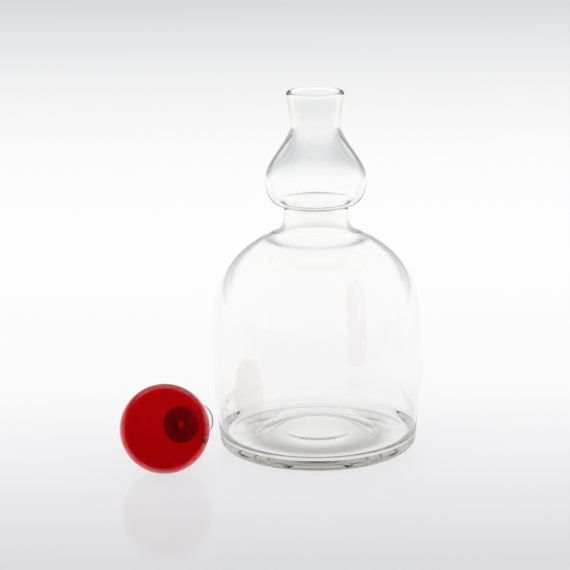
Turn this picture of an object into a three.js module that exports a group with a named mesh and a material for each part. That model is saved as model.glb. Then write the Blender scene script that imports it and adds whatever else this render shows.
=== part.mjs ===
// Decanter in blown glass: a clear bottle and a red ball stopper with a clear peg.
// Millimetres, +Z up. The stopper is out of the neck and lies on the table beside the bottle.
// The origin is on the table, at the middle of the rectangle that the two of them cover.

import * as THREE from 'three';

const DEGREE = Math.PI / 180;

// Foot of the bottle: a flat resting ring round a push-up with a flat crown
const FOOT_RADIUS = 52;
const HEEL_ROUND = 4.5;
const PUSH_UP_RADIUS = 36;
const PUSH_UP_CROWN_RADIUS = 20;
const PUSH_UP_RISE = 4.5;
const FLOOR_THICKNESS = 6;
const FLOOR_RISE = 3;
const FLOOR_CORNER_ROUND = 0.6;

// Outside of the bottle, from the heel up: each rise is the height from one station to the next
const BARREL_LEAN = 4.5 * DEGREE;
const BARREL_RISE = 55.5;
const BODY_RADIUS = 59.8;
const DOME_RISE = 73;
const SHOULDER_SLOPE = 24.5 * DEGREE;
const SHOULDER_LENGTH = 34;
const WAIST_ROUND = 10;
const WAIST_RADIUS = 18.1;
const BULB_RISE = 22;
const UNDERSIDE_DROP = 14;
const UNDERSIDE_SLOPE = 5 * DEGREE;
const UNDERSIDE_ROUND = 3.7;
const BULB_RADIUS = 28.5;
const NAPE_RISE = 31;
const NECK_RADIUS = 14.3;
const FLARE_RISE = 18.5;
const FLARE_LENGTH = 5;
const LIP_ANGLE = 8 * DEGREE;
const LIP_RADIUS = 16.2;

// Fullness of the curves: how much of a rise each end of a curve runs on straight before it bends
const BARREL_FULLNESS = [0.3, 0.35];
const DOME_FULLNESS = 0.42;
const BULB_FULLNESS = [0.3, 0.58];
const NAPE_FULLNESS = [0.33, 0.34];
const FLARE_FULLNESS = 0.4;
const PUSH_UP_FULLNESS = 0.3;

// Glass thickness at the stations
const HEEL_WALL = 5;
const BODY_WALL = 1.4;
const SHOULDER_WALL = 2.1;
const WAIST_WALL = 1.8;
const UNDERSIDE_WALL = 1.4;
const BULB_WALL = 1.2;
const NECK_WALL = 2.8;
const LIP_WALL = 3.2;

// Shares of a curve: where the glass that sank to the heel is left, and where the shoulder thickens
const SINK_SHARE = 0.15;
const GATHER_SHARE = 0.09;

// Stopper: the ball sits on the lip and the peg hangs in the neck
const BALL_RADIUS = 25;
const BALL_WALL = 2.5;
const ROOT_WALL = 5.3;
const ROOT_STUB = 4.5;
const PEG_CLEARANCE = 0.9;
const PEG_PAST_NECK = 0.5;
const PEG_TAPER = 0.3;
const PEG_END_ROUND = 2;
const PEG_BORE_RADIUS = 3.2;
const ROOT_GAP = 0.3;

// Where the stopper lies: round the bottle from its left side to its front, and how the peg points
const STOPPER_GAP = 14.4;
const STOPPER_BEARING = 30.4 * DEGREE;
const PEG_SWING = 26.3 * DEGREE;
const PEG_DROP = 10 * DEGREE;

// Facets: the sides of a turned piece, the turn between two points of a round, the steps of a curve
const BOTTLE_SIDES = 40;
const STOPPER_SIDES = 32;
const ROUND_STEP = 18 * DEGREE;
const BALL_STEP = 10 * DEGREE;
const BARREL_STEPS = 10;
const DOME_STEPS = 11;
const WAIST_STEPS = 5;
const BULB_STEPS = 8;
const NAPE_STEPS = 8;
const FLARE_STEPS = 5;
const PUSH_UP_STEPS = 6;

// Heights of the stations, and the sizes that follow from the fit of the stopper in the neck
const bodyHeight = HEEL_ROUND + BARREL_RISE;
const waistHeight = bodyHeight + DOME_RISE;
const bulbHeight = waistHeight + BULB_RISE;
const neckHeight = bulbHeight + NAPE_RISE;
const rimHeight = neckHeight + FLARE_RISE;
const lipRound = LIP_WALL / 2;
const lipCentre = new THREE.Vector2(LIP_RADIUS - lipRound, rimHeight - lipRound);
const pegRadius = NECK_RADIUS - NECK_WALL - PEG_CLEARANCE;
const rootDepth = Math.sqrt(BALL_RADIUS ** 2 - pegRadius ** 2);
const stubEnd = rootDepth + ROOT_STUB;
const seatHeight = Math.sqrt((BALL_RADIUS + lipRound) ** 2 - lipCentre.x ** 2);
const pegReach = seatHeight + lipCentre.y - neckHeight + PEG_PAST_NECK;

const point = (radius, height) => new THREE.Vector2(radius, height);

const heading = (angle) => point(Math.cos(angle), Math.sin(angle));

// Points of an arc, both ends included
function arc(centre, radius, from, to, step = ROUND_STEP) {
  const steps = Math.max(2, Math.ceil(Math.abs(to - from) / step));
  const turn = (to - from) / steps;
  return Array.from({ length: steps + 1 }, (_, i) =>
    heading(from + i * turn).multiplyScalar(radius).add(centre));
}

// A round turned clockwise from one angle to another, as a curve
function round(centre, radius, from, to) {
  return new THREE.EllipseCurve(centre.x, centre.y, radius, radius, from, to, true);
}

// A curve from one place to another, with the way it leaves the first and comes into the second
function bend(from, leaving, to, arriving) {
  return new THREE.CubicBezierCurve(from, from.clone().add(leaving), to.clone().sub(arriving), to);
}

// A solid of revolution about Z from a profile of radius and height
function turned(profile, sides) {
  return new THREE.LatheGeometry(profile, sides).rotateX(Math.PI / 2);
}

// From 0 to 1 along a curve: level at both ends, all of it at the start, or all of it at the end
const eased = (share) => THREE.MathUtils.smoothstep(share, 0, 1);
const sunk = (share) => 1 - Math.max(0, 1 - share / SINK_SHARE) ** 2;
const gathered = (share) => THREE.MathUtils.smoothstep(share, 1 - GATHER_SHARE, 1);

// The outside of the bottle as curves from the heel to the lip, each with its steps and its wall
function bottleCurves() {
  const up = (length) => point(0, length);
  const heelEnd = heading(-BARREL_LEAN).multiplyScalar(HEEL_ROUND).add(point(FOOT_RADIUS, HEEL_ROUND));
  const body = point(BODY_RADIUS, bodyHeight);
  const waist = point(WAIST_RADIUS, waistHeight);
  const bulb = point(BULB_RADIUS, bulbHeight);
  const neck = point(NECK_RADIUS, neckHeight);
  const lip = heading(-LIP_ANGLE).multiplyScalar(lipRound).add(lipCentre);

  const waistCentre = point(WAIST_RADIUS + WAIST_ROUND, waistHeight);
  const slope = heading(Math.PI - SHOULDER_SLOPE);
  const shoulderAngle = -Math.PI / 2 - SHOULDER_SLOPE;
  const shoulder = heading(shoulderAngle).multiplyScalar(WAIST_ROUND).add(waistCentre);

  const barrelOut = heading(Math.PI / 2 - BARREL_LEAN).multiplyScalar(BARREL_FULLNESS[0] * BARREL_RISE);
  const undersideAngle = Math.PI / 2 + UNDERSIDE_SLOPE;
  const undersideTop = bulbHeight - UNDERSIDE_DROP;
  const undersideCentre = point(
    WAIST_RADIUS + UNDERSIDE_ROUND, undersideTop - UNDERSIDE_ROUND * Math.sin(undersideAngle));
  const underside = heading(undersideAngle).multiplyScalar(UNDERSIDE_ROUND).add(undersideCentre);

  const domeIn = slope.clone().multiplyScalar(SHOULDER_LENGTH);
  const undersideOut = heading(UNDERSIDE_SLOPE).multiplyScalar(BULB_FULLNESS[0] * UNDERSIDE_DROP);
  const flareIn = heading(Math.PI / 2 - LIP_ANGLE).multiplyScalar(FLARE_LENGTH);

  return [
    {
      curve: bend(heelEnd, barrelOut, body, up(BARREL_FULLNESS[1] * BARREL_RISE)),
      steps: BARREL_STEPS,
      wall: [HEEL_WALL, BODY_WALL],
      change: sunk,
    },
    {
      curve: bend(body, up(DOME_FULLNESS * DOME_RISE), shoulder, domeIn),
      steps: DOME_STEPS,
      wall: [BODY_WALL, SHOULDER_WALL],
      change: gathered,
    },
    {
      curve: round(waistCentre, WAIST_ROUND, shoulderAngle, -Math.PI),
      steps: WAIST_STEPS,
      wall: [SHOULDER_WALL, WAIST_WALL],
      change: eased,
    },
    {
      curve: new THREE.LineCurve(waist, point(WAIST_RADIUS, undersideCentre.y)),
      steps: 1,
      wall: [WAIST_WALL, WAIST_WALL],
      change: eased,
    },
    {
      curve: round(undersideCentre, UNDERSIDE_ROUND, Math.PI, undersideAngle),
      steps: WAIST_STEPS,
      wall: [WAIST_WALL, UNDERSIDE_WALL],
      change: eased,
    },
    {
      curve: bend(underside, undersideOut, bulb, up(BULB_FULLNESS[1] * UNDERSIDE_DROP)),
      steps: BULB_STEPS,
      wall: [UNDERSIDE_WALL, BULB_WALL],
      change: eased,
    },
    {
      curve: bend(bulb, up(NAPE_FULLNESS[0] * NAPE_RISE), neck, up(NAPE_FULLNESS[1] * NAPE_RISE)),
      steps: NAPE_STEPS,
      wall: [BULB_WALL, NECK_WALL],
      change: eased,
    },
    {
      curve: bend(neck, up(FLARE_FULLNESS * FLARE_RISE), lip, flareIn),
      steps: FLARE_STEPS,
      wall: [NECK_WALL, LIP_WALL],
      change: eased,
    },
  ];
}

// Pairs of points along the wall, outside and inside, with the thickness changing between stations
function bottleWall() {
  const pairs = [];
  for (const { curve, steps, wall, change } of bottleCurves()) {
    for (let i = 1; i <= steps; i += 1) {
      const share = i / steps;
      const outside = curve.getPoint(share);
      const along = curve.getTangent(share);
      const thickness = THREE.MathUtils.lerp(wall[0], wall[1], change(share));
      const inside = point(-along.y, along.x).multiplyScalar(thickness).add(outside);
      pairs.push({ outside, inside });
    }
  }
  return pairs;
}

// The push-up in the foot, from its flat crown down its skirt to the ring, at a height over the table
function pushUp(height, rise) {
  const crown = point(PUSH_UP_CROWN_RADIUS, height + rise);
  const ring = point(PUSH_UP_RADIUS, height);
  const skirt = ring.clone().sub(crown).multiplyScalar(PUSH_UP_FULLNESS);
  return [point(0, crown.y), ...bend(crown, point(skirt.x, 0), ring, skirt).getPoints(PUSH_UP_STEPS)];
}

function bottle() {
  const walls = bottleWall();
  const cornerRadius = FOOT_RADIUS + HEEL_ROUND - HEEL_WALL;
  const cornerTop = FLOOR_THICKNESS + FLOOR_CORNER_ROUND;
  const cornerCentre = point(cornerRadius - FLOOR_CORNER_ROUND, cornerTop);
  const insides = walls.map((pair) => pair.inside).filter((place) => place.y > cornerTop);
  const profile = [
    ...pushUp(0, PUSH_UP_RISE),
    ...arc(point(FOOT_RADIUS, HEEL_ROUND), HEEL_ROUND, -Math.PI / 2, -BARREL_LEAN),
    ...walls.map((pair) => pair.outside),
    ...arc(lipCentre, lipRound, -LIP_ANGLE, Math.PI - LIP_ANGLE).slice(1, -1),
    ...insides.reverse(),
    ...arc(cornerCentre, FLOOR_CORNER_ROUND, 0, -Math.PI / 2),
    ...pushUp(FLOOR_THICKNESS, FLOOR_RISE).reverse(),
  ];
  return turned(profile, BOTTLE_SIDES);
}

// Hollow ball about its own centre, with a thick root for the peg: a pad inside and a stub outside
function stopperBall() {
  const hollowRadius = BALL_RADIUS - BALL_WALL;
  const padDepth = rootDepth - ROOT_WALL;
  const centre = point(0, 0);
  const rootAngle = -Math.acos(pegRadius / BALL_RADIUS);
  const hollowAngle = -Math.acos(pegRadius / hollowRadius);
  const profile = [
    point(PEG_BORE_RADIUS, -stubEnd),
    point(pegRadius, -stubEnd),
    ...arc(centre, BALL_RADIUS, rootAngle, Math.PI / 2, BALL_STEP),
    ...arc(centre, hollowRadius, Math.PI / 2, hollowAngle, BALL_STEP),
    point(pegRadius, -padDepth),
    point(PEG_BORE_RADIUS, -padDepth),
    point(PEG_BORE_RADIUS, -stubEnd),
  ];
  return turned(profile, STOPPER_SIDES);
}

// Peg under the ball: a thick tube with a fire-rounded end, whose bore opens into the ball
function stopperPeg() {
  const root = -stubEnd - ROOT_GAP;
  const endRadius = pegRadius - PEG_TAPER;
  const endCentre = point(endRadius - PEG_END_ROUND, PEG_END_ROUND - pegReach);
  const profile = [
    point(PEG_BORE_RADIUS, root),
    point(PEG_BORE_RADIUS, -pegReach),
    ...arc(endCentre, PEG_END_ROUND, -Math.PI / 2, 0),
    point(pegRadius, root),
    point(PEG_BORE_RADIUS, root),
  ];
  return turned(profile, STOPPER_SIDES);
}

function piece(name, geometry, material) {
  const mesh = new THREE.Mesh(geometry, material);
  mesh.name = name;
  return mesh;
}

const clearGlass = () => new THREE.MeshStandardMaterial({
  color: '#eef3f1',
  roughness: 0.03,
  metalness: 0,
  transparent: true,
  opacity: 0.35,
});

const redGlass = () => new THREE.MeshStandardMaterial({
  color: '#a50006',
  roughness: 0.03,
  metalness: 0,
  transparent: true,
  opacity: 0.8,
});

const stopper = new THREE.Group();
stopper.add(piece('stopper_ball', stopperBall(), redGlass()));
stopper.add(piece('stopper_peg', stopperPeg(), clearGlass()));

// The peg is modelled hanging down, as it is in the neck, and then turned to the way it lies
const pegDown = new THREE.Vector3(0, 0, -1);
const pegLying = new THREE.Vector3(
  Math.sin(PEG_SWING) * Math.cos(PEG_DROP),
  Math.cos(PEG_SWING) * Math.cos(PEG_DROP),
  -Math.sin(PEG_DROP),
);
const stopperDistance = BODY_RADIUS + STOPPER_GAP + BALL_RADIUS;
stopper.quaternion.setFromUnitVectors(pegDown, pegLying);
stopper.position.set(
  -stopperDistance * Math.cos(STOPPER_BEARING),
  -stopperDistance * Math.sin(STOPPER_BEARING),
  BALL_RADIUS,
);

const decanter = new THREE.Group();
decanter.add(piece('bottle', bottle(), clearGlass()));
decanter.add(stopper);

const ground = new THREE.Box3().setFromObject(decanter, true).getCenter(new THREE.Vector3());
decanter.position.set(-ground.x, -ground.y, 0);

export default decanter;
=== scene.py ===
# %% [markdown]
# # A blown-glass decanter with a ball stopper
#
# The object is a clear bottle with a barrel body, a pinched waist, a pear-shaped bulb and a flared
# neck, and a hollow red ball stopper that lies beside it with its clear peg turned away.
# Everything here is glass, so nearly all of the look comes from three things: smooth closed shells
# with the right wall thickness, the tint of the glass, and what there is round it to refract.

# %% Load the frame
from math import acos, cos, pi, radians, sin, sqrt

import bmesh
import bpy
from mathutils import Matrix, Vector
from mathutils.geometry import interpolate_bezier


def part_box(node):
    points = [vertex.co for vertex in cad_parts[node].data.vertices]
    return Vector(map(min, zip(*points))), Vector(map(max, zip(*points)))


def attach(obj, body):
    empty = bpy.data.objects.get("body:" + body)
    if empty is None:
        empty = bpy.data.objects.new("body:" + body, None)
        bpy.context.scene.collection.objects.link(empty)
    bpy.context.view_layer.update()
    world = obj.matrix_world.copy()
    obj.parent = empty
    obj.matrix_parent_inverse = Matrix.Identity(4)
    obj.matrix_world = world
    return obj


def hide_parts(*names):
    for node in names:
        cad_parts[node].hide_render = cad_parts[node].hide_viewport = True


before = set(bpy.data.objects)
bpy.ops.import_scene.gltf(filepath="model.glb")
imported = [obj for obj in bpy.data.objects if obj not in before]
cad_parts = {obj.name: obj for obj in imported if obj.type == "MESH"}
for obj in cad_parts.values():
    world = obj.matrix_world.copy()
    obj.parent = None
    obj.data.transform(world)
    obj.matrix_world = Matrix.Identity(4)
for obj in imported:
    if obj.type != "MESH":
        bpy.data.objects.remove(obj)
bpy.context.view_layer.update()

# %% [markdown]
# ## Small helpers
#
# Sizes are written in millimetres, as a glassmaker would give them, and Blender works in metres, so
# one factor stands between the two. Colours are written as sRGB hex values, because that is what a
# colour picker shows, and a shader wants linear light. Nodes are added by one function that takes
# the node's settings and what goes into its sockets.

# %% Helpers
MM = 0.001


def linear(hex_colour):
    """An sRGB hex value such as #808080 as linear red, green, blue and alpha."""
    parts = [int(hex_colour[i:i + 2], 16) / 255 for i in (1, 3, 5)]
    return [p / 12.92 if p <= 0.04045 else ((p + 0.055) / 1.055) ** 2.4 for p in parts] + [1.0]


def add_node(tree, kind, settings=None, sockets=None):
    """Adds a node, sets its properties, and gives each named socket a value or a link."""
    node = tree.nodes.new(kind)
    for name, value in (settings or {}).items():
        setattr(node, name, value)
    for name, value in (sockets or {}).items():
        if isinstance(value, bpy.types.NodeSocket):
            tree.links.new(value, node.inputs[name])
        else:
            node.inputs[name].default_value = value
    return node


print("#808080 in linear light:", [round(v, 3) for v in linear("#808080")])

# %% [markdown]
# ## Clear glass
#
# The bottle and the peg are soda-lime glass, blown and fire polished: colourless in a thin wall, grey
# beige where light runs a long way through it, and with a skin that is smooth but never quite flat.
# Glass could be tinted on its surface, but then a thick heel and a thin wall would have the same
# colour, so the tint is an absorption inside the solid. The slow waves that blowing leaves in the
# skin are a very shallow bump, and wiping leaves smears, which are a little less glossy.

# %% Clear glass material
CLEAR_TINT = "#d2d2c8"
CLEAR_TINT_DENSITY = 18.0
WHITE = "#ffffff"
GLASS_IOR = 1.52
WAVE_LENGTH = 26
WAVE_DEPTH = 0.01
WAVE_DETAIL = 1.0
SMEAR_SIZE = 9
SMEAR_DETAIL = 3.0
SMEAR_SHARE = (0.45, 0.8)
SMEAR_ROUGHNESS = 0.03


def blown_glass(name, skin_colour, tint=None, density=0.0):
    """Fire-polished glass: clear and sharp to look through, with soft waves and faint smears."""
    material = bpy.data.materials.new(name)
    material.use_nodes = True
    tree = material.node_tree
    tree.nodes.clear()
    place = add_node(tree, "ShaderNodeTexCoord")
    waves = add_node(
        tree, "ShaderNodeTexNoise",
        sockets={"Vector": place.outputs["Object"], "Scale": 1 / (WAVE_LENGTH * MM),
                 "Detail": WAVE_DETAIL},
    )
    skin = add_node(
        tree, "ShaderNodeBump",
        sockets={"Height": waves.outputs["Fac"], "Strength": 1.0, "Distance": WAVE_DEPTH * MM},
    )
    smears = add_node(
        tree, "ShaderNodeTexNoise",
        sockets={"Vector": place.outputs["Object"], "Scale": 1 / (SMEAR_SIZE * MM),
                 "Detail": SMEAR_DETAIL},
    )
    polish = add_node(
        tree, "ShaderNodeMapRange",
        sockets={"Value": smears.outputs["Fac"], "From Min": SMEAR_SHARE[0],
                 "From Max": SMEAR_SHARE[1], "To Min": 0.0, "To Max": SMEAR_ROUGHNESS},
    )
    glass = add_node(
        tree, "ShaderNodeBsdfGlass",
        sockets={"Color": linear(skin_colour), "Roughness": polish.outputs["Result"], "IOR": GLASS_IOR,
                 "Normal": skin.outputs["Normal"]},
    )
    output = add_node(tree, "ShaderNodeOutputMaterial", sockets={"Surface": glass.outputs["BSDF"]})
    if tint:
        inside = add_node(
            tree, "ShaderNodeVolumeAbsorption", sockets={"Color": linear(tint), "Density": density},
        )
        tree.links.new(inside.outputs["Volume"], output.inputs["Volume"])
    return material


# Blown soda-lime glass: all sparkle and dark edges, with no colour until it is thick.
clear_glass = blown_glass("clear_soda_lime_glass", WHITE, CLEAR_TINT, CLEAR_TINT_DENSITY)
print("made", clear_glass.name)

# %% [markdown]
# ## Red glass
#
# The ball looks like flashed glass: clear glass under a thin skin of strong red, so that it is an even
# red right up to its edge. An absorption inside the wall would darken the edge, where light runs
# along the wall. Here the red is the colour of the surface, and light takes it on each time that it
# passes one. A red surface also tints what it mirrors, but the real skin mirrors the white room at
# its rim, so a white gloss is mixed in where the view grazes it. The root that the peg hangs on is
# solid red glass, which is deeper, so its two faces have a darker skin.

# %% Red glass material
RED_SKIN = "#e6273f"
ROOT_SKIN = "#a61927"
RIM_START = 0.1
RIM_ROUGHNESS = 0.02


def flashed_glass(name, skin_colour):
    """Blown glass with a coloured skin, whose rim mirrors the room in white."""
    material = blown_glass(name, skin_colour)
    tree = material.node_tree
    grazing = add_node(tree, "ShaderNodeFresnel", sockets={"IOR": GLASS_IOR})
    rim = add_node(
        tree, "ShaderNodeMapRange", sockets={"Value": grazing.outputs["Fac"], "From Min": RIM_START},
    )
    shine = add_node(
        tree, "ShaderNodeBsdfGlossy", sockets={"Color": linear(WHITE), "Roughness": RIM_ROUGHNESS},
    )
    rimmed = add_node(
        tree, "ShaderNodeMixShader",
        sockets={0: rim.outputs["Result"], 1: tree.nodes["Glass BSDF"].outputs["BSDF"],
                 2: shine.outputs["BSDF"]},
    )
    tree.links.new(rimmed.outputs["Shader"], tree.nodes["Material Output"].inputs["Surface"])
    return material


# Flashed glass: a full, even red with a pale line round it.
red_glass = flashed_glass("red_flashed_glass", RED_SKIN)
# Glass that is red all through: nearly black where it is this thick.
root_glass = flashed_glass("red_glass_of_the_root", ROOT_SKIN)
print("made", red_glass.name, "and", root_glass.name)

# %% [markdown]
# ## The bottle's outline
#
# A blown bottle is round about its axis, so one outline and a full turn make it. The outline could be
# traced by hand point by point, but a few stations with the curve between them say more: the heel,
# the widest place of the body, the shoulder, the waist, the bulb, the neck and the lip. These are the
# sizes of the part's solids, with many more points, because glass shows every facet.

# %% Stations of the bottle
FOOT_RADIUS = 52
HEEL_ROUND = 4.5
PUSH_UP_RADIUS = 36
PUSH_UP_CROWN_RADIUS = 20
PUSH_UP_RISE = 4.5
FLOOR_THICKNESS = 6
FLOOR_RISE = 3
FLOOR_CORNER_ROUND = 0.6
BARREL_LEAN = radians(4.5)
BARREL_RISE = 55.5
BODY_RADIUS = 59.8
DOME_RISE = 73
SHOULDER_SLOPE = radians(24.5)
SHOULDER_LENGTH = 34
WAIST_ROUND = 10
WAIST_RADIUS = 18.1
BULB_RISE = 22
UNDERSIDE_DROP = 14
UNDERSIDE_SLOPE = radians(5)
UNDERSIDE_ROUND = 3.7
BULB_RADIUS = 28.5
NAPE_RISE = 31
NECK_RADIUS = 14.3
FLARE_RISE = 18.5
FLARE_LENGTH = 5
LIP_ANGLE = radians(8)
LIP_RADIUS = 16.2
LIP_WALL = 3.2

body_height = HEEL_ROUND + BARREL_RISE
waist_height = body_height + DOME_RISE
bulb_height = waist_height + BULB_RISE
neck_height = bulb_height + NAPE_RISE
rim_height = neck_height + FLARE_RISE
lip_round = LIP_WALL / 2


def at(radius, height):
    """A place on the outline: out from the axis and up from the table."""
    return Vector((radius, 0, height))


def heading(angle, length=1.0):
    return at(cos(angle) * length, sin(angle) * length)


def arc(centre, radius, start, end, steps):
    """Points of an arc, both ends included."""
    return [centre + heading(start + (end - start) * i / steps, radius) for i in range(steps + 1)]


def bend(start, leaving, end, arriving, steps):
    """A smooth curve that leaves its start one way and comes into its end another."""
    return interpolate_bezier(start, start + leaving, end - arriving, end, steps + 1)


lip_centre = at(LIP_RADIUS - lip_round, rim_height - lip_round)
print("rim of the bottle at", rim_height, "mm")

# %% [markdown]
# ## The bottle's wall
#
# The wall is not even: thick at the heel where the hot glass sank, thin where the body and the bulb
# were blown out, thicker in the shoulder next to the waist that was pinched with the jacks, and thick
# again in the neck and the lip. A solidify modifier would give one thickness all over, so the inside
# is worked out point by point: each place on the outside goes in, square to the curve, by the
# thickness there. Each run of the outline has its two thicknesses and the way that one turns into
# the other.

# %% Outside and inside of the bottle
HEEL_WALL = 5
BODY_WALL = 1.4
SHOULDER_WALL = 2.1
WAIST_WALL = 1.8
UNDERSIDE_WALL = 1.4
BULB_WALL = 1.2
NECK_WALL = 2.8
SINK_SHARE = 0.15
GATHER_SHARE = 0.09
BARREL_FULLNESS = (0.3, 0.35)
DOME_FULLNESS = 0.42
BULB_FULLNESS = (0.3, 0.58)
NAPE_FULLNESS = (0.33, 0.34)
FLARE_FULLNESS = 0.4
BARREL_STEPS = 24
DOME_STEPS = 40
WAIST_STEPS = 20
UNDERSIDE_STEPS = 16
BULB_STEPS = 32
NAPE_STEPS = 32
FLARE_STEPS = 20

heel_end = at(FOOT_RADIUS, HEEL_ROUND) + heading(-BARREL_LEAN, HEEL_ROUND)
body = at(BODY_RADIUS, body_height)
waist = at(WAIST_RADIUS, waist_height)
bulb = at(BULB_RADIUS, bulb_height)
neck = at(NECK_RADIUS, neck_height)
lip = lip_centre + heading(-LIP_ANGLE, lip_round)
waist_centre = at(WAIST_RADIUS + WAIST_ROUND, waist_height)
shoulder_angle = -pi / 2 - SHOULDER_SLOPE
shoulder = waist_centre + heading(shoulder_angle, WAIST_ROUND)
underside_angle = pi / 2 + UNDERSIDE_SLOPE
underside_top = bulb_height - UNDERSIDE_DROP - UNDERSIDE_ROUND * sin(underside_angle)
underside_centre = at(WAIST_RADIUS + UNDERSIDE_ROUND, underside_top)
underside = underside_centre + heading(underside_angle, UNDERSIDE_ROUND)


def eased(share):
    """From 0 to 1 along a run, level at both ends."""
    return share * share * (3 - 2 * share)


def sunk(share):
    """From 0 to 1 along a run, fast at first, as glass that sank to the bottom leaves it."""
    return 1 - max(0, 1 - share / SINK_SHARE) ** 2


def gathered(share):
    """From 0 to 1 late on a run, where glass gathers that was pinched in next to it."""
    return eased(max(0, 1 - (1 - share) / GATHER_SHARE))


runs = [
    (bend(heel_end, heading(pi / 2 - BARREL_LEAN, BARREL_FULLNESS[0] * BARREL_RISE),
          body, at(0, BARREL_FULLNESS[1] * BARREL_RISE), BARREL_STEPS),
     HEEL_WALL, BODY_WALL, sunk),
    (bend(body, at(0, DOME_FULLNESS * DOME_RISE),
          shoulder, heading(pi - SHOULDER_SLOPE, SHOULDER_LENGTH), DOME_STEPS),
     BODY_WALL, SHOULDER_WALL, gathered),
    (arc(waist_centre, WAIST_ROUND, shoulder_angle, -pi, WAIST_STEPS),
     SHOULDER_WALL, WAIST_WALL, eased),
    ([waist] + arc(underside_centre, UNDERSIDE_ROUND, pi, underside_angle, UNDERSIDE_STEPS),
     WAIST_WALL, UNDERSIDE_WALL, eased),
    (bend(underside, heading(UNDERSIDE_SLOPE, BULB_FULLNESS[0] * UNDERSIDE_DROP),
          bulb, at(0, BULB_FULLNESS[1] * UNDERSIDE_DROP), BULB_STEPS),
     UNDERSIDE_WALL, BULB_WALL, eased),
    (bend(bulb, at(0, NAPE_FULLNESS[0] * NAPE_RISE),
          neck, at(0, NAPE_FULLNESS[1] * NAPE_RISE), NAPE_STEPS),
     BULB_WALL, NECK_WALL, eased),
    (bend(neck, at(0, FLARE_FULLNESS * FLARE_RISE),
          lip, heading(pi / 2 - LIP_ANGLE, FLARE_LENGTH), FLARE_STEPS),
     NECK_WALL, LIP_WALL, eased),
]

outside = [heel_end]
thickness = [HEEL_WALL]
for points, start_wall, end_wall, change in runs:
    for i in range(1, len(points)):
        outside.append(points[i])
        thickness.append(start_wall + (end_wall - start_wall) * change(i / (len(points) - 1)))

inside = []
for i, place in enumerate(outside):
    along = outside[min(i + 1, len(outside) - 1)] - outside[max(i - 1, 0)]
    inward = at(-along.z, along.x).normalized()
    inside.append(place + inward * thickness[i])
print(len(outside), "places on the wall; thinnest", min(thickness), "mm, thickest", max(thickness), "mm")

# %% [markdown]
# ## The foot
#
# The bottle stands on a flat ring. Inside the ring the floor is pushed up into a flat crown with a
# sloped skirt, which keeps the rough middle off the table, and the floor inside the bottle follows it,
# a little less high. It joins the wall with a small round corner, a line that shows through the glass.
# One function draws both sides of the floor, so they stay alike.

# %% Whole outline of the bottle
PUSH_UP_FULLNESS = 0.3
CROWN_STEPS = 4
SKIRT_STEPS = 20
HEEL_STEPS = 16
LIP_STEPS = 24
CORNER_STEPS = 10


def push_up(height, rise):
    """The push-up from the axis out to the ring, at a height over the table."""
    crown = at(PUSH_UP_CROWN_RADIUS, height + rise)
    ring = at(PUSH_UP_RADIUS, height)
    skirt = ring - crown
    middle = [at(crown.x * i / CROWN_STEPS, crown.z) for i in range(CROWN_STEPS)]
    leaving = at(PUSH_UP_FULLNESS * skirt.x, 0)
    return middle + bend(crown, leaving, ring, skirt * PUSH_UP_FULLNESS, SKIRT_STEPS)


corner_radius = FOOT_RADIUS + HEEL_ROUND - HEEL_WALL
corner_top = FLOOR_THICKNESS + FLOOR_CORNER_ROUND
corner_centre = at(corner_radius - FLOOR_CORNER_ROUND, corner_top)
bottle_outline = (
    push_up(0, PUSH_UP_RISE)
    + arc(at(FOOT_RADIUS, HEEL_ROUND), HEEL_ROUND, -pi / 2, -BARREL_LEAN, HEEL_STEPS)
    + outside[1:]
    + arc(lip_centre, lip_round, -LIP_ANGLE, pi - LIP_ANGLE, LIP_STEPS)[1:-1]
    + [place for place in reversed(inside) if place.z > corner_top]
    + arc(corner_centre, FLOOR_CORNER_ROUND, 0, -pi / 2, CORNER_STEPS)
    + push_up(FLOOR_THICKNESS, FLOOR_RISE)[::-1]
)
print(len(bottle_outline), "points on the outline of the bottle")

# %% [markdown]
# ## Turning the bottle
#
# Spin sweeps the outline round the axis. The places on the axis are then one point each, so doubles
# are merged before the normals are worked out, and the whole skin is shaded smooth. The mesh is made
# where the bottle stands, so the object itself stays at the origin.

# %% The bottle
BOTTLE_TURN_STEPS = 192
SAME_PLACE = 1e-7

bottle_low, bottle_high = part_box("bottle")
bottle_axis = Vector(((bottle_low.x + bottle_high.x) / 2, (bottle_low.y + bottle_high.y) / 2, 0))


def turned(outline, steps):
    """A bmesh of the outline turned about Z, closed and facing outwards."""
    shape = bmesh.new()
    places = [shape.verts.new(place * MM) for place in outline]
    edges = [shape.edges.new(pair) for pair in zip(places, places[1:])]
    bmesh.ops.spin(
        shape, geom=places + edges, cent=(0, 0, 0), axis=(0, 0, 1), dvec=(0, 0, 0),
        angle=2 * pi, steps=steps, use_merge=True, use_duplicate=False,
    )
    bmesh.ops.remove_doubles(shape, verts=shape.verts, dist=SAME_PLACE)
    bmesh.ops.recalc_face_normals(shape, faces=shape.faces)
    for face in shape.faces:
        face.smooth = True
    return shape


def piece(name, shape, material, node, body):
    """The finished object, which stands for a CAD node and rides on its body."""
    mesh = bpy.data.meshes.new(name)
    shape.to_mesh(mesh)
    shape.free()
    mesh.materials.append(material)
    obj = bpy.data.objects.new(name, mesh)
    bpy.context.scene.collection.objects.link(obj)
    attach(obj, body)
    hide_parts(node)
    print("made", name, "with", len(mesh.polygons), "faces")
    return obj


bottle_shape = turned(bottle_outline, BOTTLE_TURN_STEPS)
bmesh.ops.translate(bottle_shape, verts=bottle_shape.verts, vec=bottle_axis)
piece("bottle_glass", bottle_shape, clear_glass, "bottle", "bottle")

# %% [markdown]
# ## The stopper
#
# The ball is blown hollow. Where the peg hangs on it there is a thick flat pad inside and a short
# solid stub outside, and the clear peg is joined hot to the stub. The ball would sit on the lip with
# the peg hanging in the neck, so both are turned about their own axis with the peg hanging down, and
# only then laid over to the way the stopper lies on the table. The peg's width comes from the bore
# of the neck, and its length from where the ball would sit.

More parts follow.
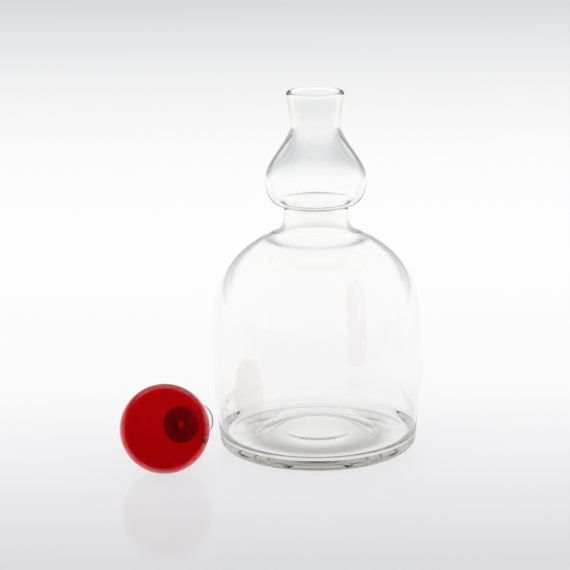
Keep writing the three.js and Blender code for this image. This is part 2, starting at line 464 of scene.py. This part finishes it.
# %% Sizes of the stopper
BALL_RADIUS = 25
BALL_WALL = 2.5
ROOT_WALL = 5.3
ROOT_STUB = 4.5
PEG_CLEARANCE = 0.9
PEG_PAST_NECK = 0.5
PEG_TAPER = 0.3
PEG_END_ROUND = 2
PEG_BORE_RADIUS = 3.2
ROOT_GAP = 0.3
STOPPER_GAP = 14.4
STOPPER_BEARING = radians(30.4)
PEG_SWING = radians(26.3)
PEG_DROP = radians(10)
STOPPER_TURN_STEPS = 128

peg_radius = NECK_RADIUS - NECK_WALL - PEG_CLEARANCE
root_depth = sqrt(BALL_RADIUS ** 2 - peg_radius ** 2)
seat_height = sqrt((BALL_RADIUS + lip_round) ** 2 - lip_centre.x ** 2)
peg_reach = seat_height + lip_centre.z - neck_height + PEG_PAST_NECK
peg_points = Vector((sin(PEG_SWING) * cos(PEG_DROP), cos(PEG_SWING) * cos(PEG_DROP), -sin(PEG_DROP)))
stopper_distance = BODY_RADIUS + STOPPER_GAP + BALL_RADIUS
ball_centre = Vector((
    bottle_axis.x - stopper_distance * cos(STOPPER_BEARING) * MM,
    bottle_axis.y - stopper_distance * sin(STOPPER_BEARING) * MM,
    BALL_RADIUS * MM,
))
tip_over = at(0, -1).rotation_difference(peg_points).to_matrix().to_4x4()
lay_down = Matrix.Translation(ball_centre) @ tip_over
print("the peg reaches", round(peg_reach, 2), "mm from the middle of the ball")

# %% [markdown]
# ### The ball
#
# The ball is a hollow sphere that ends flat at its root, and the bore of the peg goes through the root
# into the hollow. It could be a sphere with another one cut out of it, but an outline that runs up
# round the ball and back down along the hollow gives a clean closed wall in a single turn. The flat
# faces of the root are then picked out by the way they face, and get the deeper red.

# %% The ball of the stopper
BALL_STEPS = 72
FLAT = 0.99

hollow_radius = BALL_RADIUS - BALL_WALL
pad_depth = root_depth - ROOT_WALL
stub_end = root_depth + ROOT_STUB
ball_outline = (
    [at(PEG_BORE_RADIUS, -stub_end), at(peg_radius, -stub_end)]
    + arc(at(0, 0), BALL_RADIUS, -acos(peg_radius / BALL_RADIUS), pi / 2, BALL_STEPS)
    + arc(at(0, 0), hollow_radius, pi / 2, -acos(peg_radius / hollow_radius), BALL_STEPS)
    + [at(peg_radius, -pad_depth), at(PEG_BORE_RADIUS, -pad_depth), at(PEG_BORE_RADIUS, -stub_end)]
)
ball_shape = turned(ball_outline, STOPPER_TURN_STEPS)
bmesh.ops.transform(ball_shape, matrix=lay_down, verts=ball_shape.verts)
ball = piece("stopper_ball_glass", ball_shape, red_glass, "stopper_ball", "stopper")
ball.data.materials.append(root_glass)
for face in ball.data.polygons:
    on_peg_side = (face.center - ball_centre).dot(peg_points) > 0
    if on_peg_side and abs(face.normal.dot(peg_points)) > FLAT:
        face.material_index = 1
print(sum(face.material_index for face in ball.data.polygons), "faces of the root have the deeper red")

# %% [markdown]
# ### The peg
#
# The peg is a thick tube of the bottle's clear glass, with a slight taper and a fire-rounded end. A
# bevelled cylinder would do for its outside, but its bore would have to be cut, so it is turned from
# an outline like the rest.

# %% The peg of the stopper
PEG_END_STEPS = 12

root = -stub_end - ROOT_GAP
end_radius = peg_radius - PEG_TAPER
end_centre = at(end_radius - PEG_END_ROUND, PEG_END_ROUND - peg_reach)
peg_outline = (
    [at(PEG_BORE_RADIUS, root), at(PEG_BORE_RADIUS, -peg_reach)]
    + arc(end_centre, PEG_END_ROUND, -pi / 2, 0, PEG_END_STEPS)
    + [at(peg_radius, root), at(PEG_BORE_RADIUS, root)]
)
peg_shape = turned(peg_outline, STOPPER_TURN_STEPS)
bmesh.ops.transform(peg_shape, matrix=lay_down, verts=peg_shape.verts)
piece("stopper_peg_glass", peg_shape, clear_glass, "stopper_peg", "stopper")

# %% [markdown]
# ## The table
#
# Glass has no look of its own without something to show through it. The table is a wide sheet of
# pale glossy acrylic, so wide that its edges stay far away, and a grid of a single face is enough for
# it. The sheet lies a hair under the glass, because two surfaces in one plane would flicker.

# %% The sheet
TABLE_SIZE = 12.0
TABLE_DROP = 0.1

floor_shape = bmesh.new()
bmesh.ops.create_grid(floor_shape, x_segments=1, y_segments=1, size=TABLE_SIZE / 2)
bmesh.ops.translate(floor_shape, verts=floor_shape.verts, vec=(0, 0, -TABLE_DROP * MM))
floor_mesh = bpy.data.meshes.new("table")
floor_shape.to_mesh(floor_mesh)
floor_shape.free()
floor = bpy.data.objects.new("table", floor_mesh)
bpy.context.scene.collection.objects.link(floor)
print("table", TABLE_SIZE, "m across")

# %% [markdown]
# ### The sheet's shades
#
# On the real table the light pools behind the bottle. The sheet could be one grey with lamps over it,
# but a lamp's bright patch is hard to place, so the shades are given along the sheet's depth:
# brightest behind the bottle, and greyer towards the front and far away.

# %% Shades of the sheet
TABLE_NEAR = -1.2
TABLE_FAR = 2.4
# How far back on the sheet, in metres, and the shade there.
TABLE_SHADES = (
    (-1.2, "#e6e6e8"), (-0.18, "#dadadc"), (-0.05, "#ececee"), (0.1, "#fafafb"), (0.42, "#ffffff"),
    (0.8, "#ffffff"), (1.22, "#f5f5f6"), (1.85, "#dddee0"), (2.4, "#cccdd0"),
)


def shade_ramp(ramp, stops):
    """Sets the stops of a colour ramp, of which a new one has two, at its ends."""
    ramp.elements[0].position, ramp.elements[0].color = stops[0]
    ramp.elements[-1].position, ramp.elements[-1].color = stops[-1]
    for position, colour in stops[1:-1]:
        ramp.elements.new(position).color = colour


acrylic = bpy.data.materials.new("opal_acrylic_sheet")
acrylic.use_nodes = True
tree = acrylic.node_tree
tree.nodes.clear()
on_sheet = add_node(tree, "ShaderNodeTexCoord")
parts = add_node(tree, "ShaderNodeSeparateXYZ", sockets={"Vector": on_sheet.outputs["Object"]})
depth = add_node(
    tree, "ShaderNodeMapRange",
    sockets={"Value": parts.outputs["Y"], "From Min": TABLE_NEAR, "From Max": TABLE_FAR},
)
pool = add_node(tree, "ShaderNodeValToRGB", sockets={"Fac": depth.outputs["Result"]})
shade_ramp(pool.color_ramp, [
    ((y - TABLE_NEAR) / (TABLE_FAR - TABLE_NEAR), linear(shade)) for y, shade in TABLE_SHADES
])
print(len(TABLE_SHADES), "shades along the table")

# %% [markdown]
# ### The shade under the foot
#
# On a real table the sloped skirt of the push-up bends light away from the sheet under it, and a soft
# grey ring lies there, round the bright middle, which shows through the bottle's floor. It could come
# from a lamp, but the even light that suits the rest of the glass casts no such ring, so it is drawn
# in the sheet. It gets weaker towards the back, as if most of the light came from there.

# %% Shade of the sheet under the foot
# Distance from the bottle's axis in millimetres, and what the sheet's shade is multiplied by there.
FOOT_SHADES = (
    (0, "#ffffff"), (14, "#ffffff"), (21, "#dcdcd6"), (27, "#bab9ae"), (36, "#b2b1a6"), (44, "#ffffff"),
)
# How far behind the axis there is none of it, and how far before the axis all of it, in millimetres.
SHADE_FADE = (34, -20)

from_axis = add_node(
    tree, "ShaderNodeVectorMath", {"operation": "DISTANCE"},
    sockets={0: on_sheet.outputs["Object"], 1: bottle_axis},
)
reach = FOOT_SHADES[-1][0]
under = add_node(
    tree, "ShaderNodeMapRange", sockets={"Value": from_axis.outputs["Value"], "From Max": reach * MM},
)
shade = add_node(tree, "ShaderNodeValToRGB", sockets={"Fac": under.outputs["Result"]})
shade_ramp(shade.color_ramp, [(radius / reach, linear(colour)) for radius, colour in FOOT_SHADES])
front = add_node(
    tree, "ShaderNodeMapRange",
    sockets={"Value": parts.outputs["Y"], "From Min": bottle_axis.y + SHADE_FADE[0] * MM,
             "From Max": bottle_axis.y + SHADE_FADE[1] * MM},
)
# A Mix node takes colours at its inputs 6 and 7 and gives one at its output 2.
shaded = add_node(
    tree, "ShaderNodeMix", {"data_type": "RGBA", "blend_type": "MULTIPLY"},
    sockets={0: front.outputs["Result"], 6: pool.outputs["Color"], 7: shade.outputs["Color"]},
)
print("shade under the foot, as far as", reach, "mm from the axis")

# %% [markdown]
# ### The sheet's glow and gloss
#
# A pale ground in a studio is lit so evenly that it looks the same from everywhere. Most of what is
# seen of the sheet, straight, mirrored or through glass, is a glow of its own colour, at a strength
# where 1 is white. The rest is matt and takes the soft shadow of the object. A little gloss on top
# mirrors the stopper and the foot faintly.

# %% Finish of the sheet
TABLE_GLOW = 0.9
TABLE_GLOSS = 0.06
TABLE_ROUGHNESS = 0.12

seen = add_node(tree, "ShaderNodeLightPath")
camera_or_glossy = add_node(
    tree, "ShaderNodeMath", {"operation": "MAXIMUM"},
    sockets={0: seen.outputs["Is Camera Ray"], 1: seen.outputs["Is Glossy Ray"]},
)
any_seen = add_node(
    tree, "ShaderNodeMath", {"operation": "MAXIMUM"},
    sockets={0: camera_or_glossy.outputs[0], 1: seen.outputs["Is Transmission Ray"]},
)
share = add_node(
    tree, "ShaderNodeMath", {"operation": "MULTIPLY"}, sockets={0: any_seen.outputs[0], 1: TABLE_GLOW},
)
matt = add_node(tree, "ShaderNodeBsdfDiffuse", sockets={"Color": shaded.outputs[2]})
glow = add_node(tree, "ShaderNodeEmission", sockets={"Color": shaded.outputs[2], "Strength": 1.0})
sheet = add_node(
    tree, "ShaderNodeMixShader",
    sockets={0: share.outputs[0], 1: matt.outputs["BSDF"], 2: glow.outputs["Emission"]},
)
gloss = add_node(
    tree, "ShaderNodeBsdfGlossy", sockets={"Color": linear(WHITE), "Roughness": TABLE_ROUGHNESS},
)
polished = add_node(
    tree, "ShaderNodeMixShader",
    sockets={0: TABLE_GLOSS, 1: sheet.outputs["Shader"], 2: gloss.outputs["BSDF"]},
)
add_node(tree, "ShaderNodeOutputMaterial", sockets={"Surface": polished.outputs["Shader"]})
floor_mesh.materials.append(acrylic)
print("made", acrylic.name)

# %% [markdown]
# ## Light
#
# Clear glass is photographed in a tent of white cloth. The tent lights it evenly and leaves nothing
# to mirror but white, so on its own it would make the glass nearly vanish. A gap in the cloth behind
# the table, low over the horizon, draws the edges: thick and curved glass bends the view into the gap
# and looks dark there. The tent is the world, at a plain white, and the gap is a run of greys by
# height over the horizon, on the far side only. The camera itself sees a pale backdrop.

# %% Light
TENT = 1.0
GAP_EDGE = (0.5, 0.75)
# Degrees over the horizon, and how bright the backdrop is there.
GAP_SHADES = ((0, 0.45), (4, 0.55), (8, 0.38), (11, 0.25), (14, 0.75), (17, 0.85), (20, TENT))
BACKDROP = "#e6e6e8"

world = bpy.data.worlds.new("studio")
bpy.context.scene.world = world
world.use_nodes = True
tree = world.node_tree
tree.nodes.clear()
direction = add_node(tree, "ShaderNodeTexCoord")
parts = add_node(tree, "ShaderNodeSeparateXYZ", sockets={"Vector": direction.outputs["Generated"]})
gap = add_node(tree, "ShaderNodeValToRGB", sockets={"Fac": parts.outputs["Z"]})
shade_ramp(gap.color_ramp, [(sin(radians(angle)), (grey, grey, grey, 1)) for angle, grey in GAP_SHADES])
behind = add_node(
    tree, "ShaderNodeMapRange", {"interpolation_type": "SMOOTHSTEP"},
    sockets={"Value": parts.outputs["Y"], "From Min": GAP_EDGE[0], "From Max": GAP_EDGE[1]},
)
room = add_node(
    tree, "ShaderNodeMix", {"data_type": "RGBA"},
    sockets={0: behind.outputs["Result"], 6: (TENT, TENT, TENT, 1), 7: gap.outputs["Color"]},
)
light = add_node(tree, "ShaderNodeBackground", sockets={"Color": room.outputs[2], "Strength": 1.0})
seen = add_node(tree, "ShaderNodeLightPath")
backdrop = add_node(
    tree, "ShaderNodeBackground", sockets={"Color": linear(BACKDROP), "Strength": 1.0},
)
mixed = add_node(
    tree, "ShaderNodeMixShader",
    sockets={0: seen.outputs["Is Camera Ray"], 1: light.outputs["Background"],
             2: backdrop.outputs["Background"]},
)
add_node(tree, "ShaderNodeOutputWorld", sockets={"Surface": mixed.outputs["Shader"]})
print("made the world", world.name, "with a gap of", len(GAP_SHADES), "greys")

# %% [markdown]
# ## Light paths
#
# A look through the heel of the bottle meets many surfaces one after the other. Blender gives up on a
# path after twelve by default and draws black there, so glass needs more.

# %% Light paths
GLASS_BOUNCES = 32
MIRROR_BOUNCES = 16
MATT_BOUNCES = 4

scene = bpy.context.scene
scene.view_settings.view_transform = "Standard"
scene.cycles.max_bounces = GLASS_BOUNCES
scene.cycles.transmission_bounces = GLASS_BOUNCES
scene.cycles.glossy_bounces = MIRROR_BOUNCES
scene.cycles.diffuse_bounces = MATT_BOUNCES
print("up to", GLASS_BOUNCES, "surfaces on a path")

# %% [markdown]
# ## Camera
#
# The camera stands well back with a long lens and looks down a little, as for a catalogue picture,
# so the bottle's sides stay upright and its ovals shallow. Its place is given from the bottle's axis.

# %% Camera
CAMERA_BACK = 1216
CAMERA_HEIGHT = 419
CAMERA_LEFT = 18
CAMERA_PITCH = radians(15)
CAMERA_ROLL = radians(0.69)
FOCAL_PIXELS = 2216
IMAGE_WIDTH = 570
SENSOR_WIDTH = 36

camera_data = bpy.data.cameras.new("camera")
camera_data.sensor_width = SENSOR_WIDTH
camera_data.lens = FOCAL_PIXELS / IMAGE_WIDTH * SENSOR_WIDTH
camera = bpy.data.objects.new("camera", camera_data)
scene.collection.objects.link(camera)
camera.location = bottle_axis + Vector((-CAMERA_LEFT, -CAMERA_BACK, CAMERA_HEIGHT)) * MM
turn = Matrix.Rotation(pi / 2 - CAMERA_PITCH, 3, "X") @ Matrix.Rotation(-CAMERA_ROLL, 3, "Z")
camera.rotation_euler = turn.to_euler()
scene.camera = camera
print("lens", round(camera_data.lens, 1), "mm")
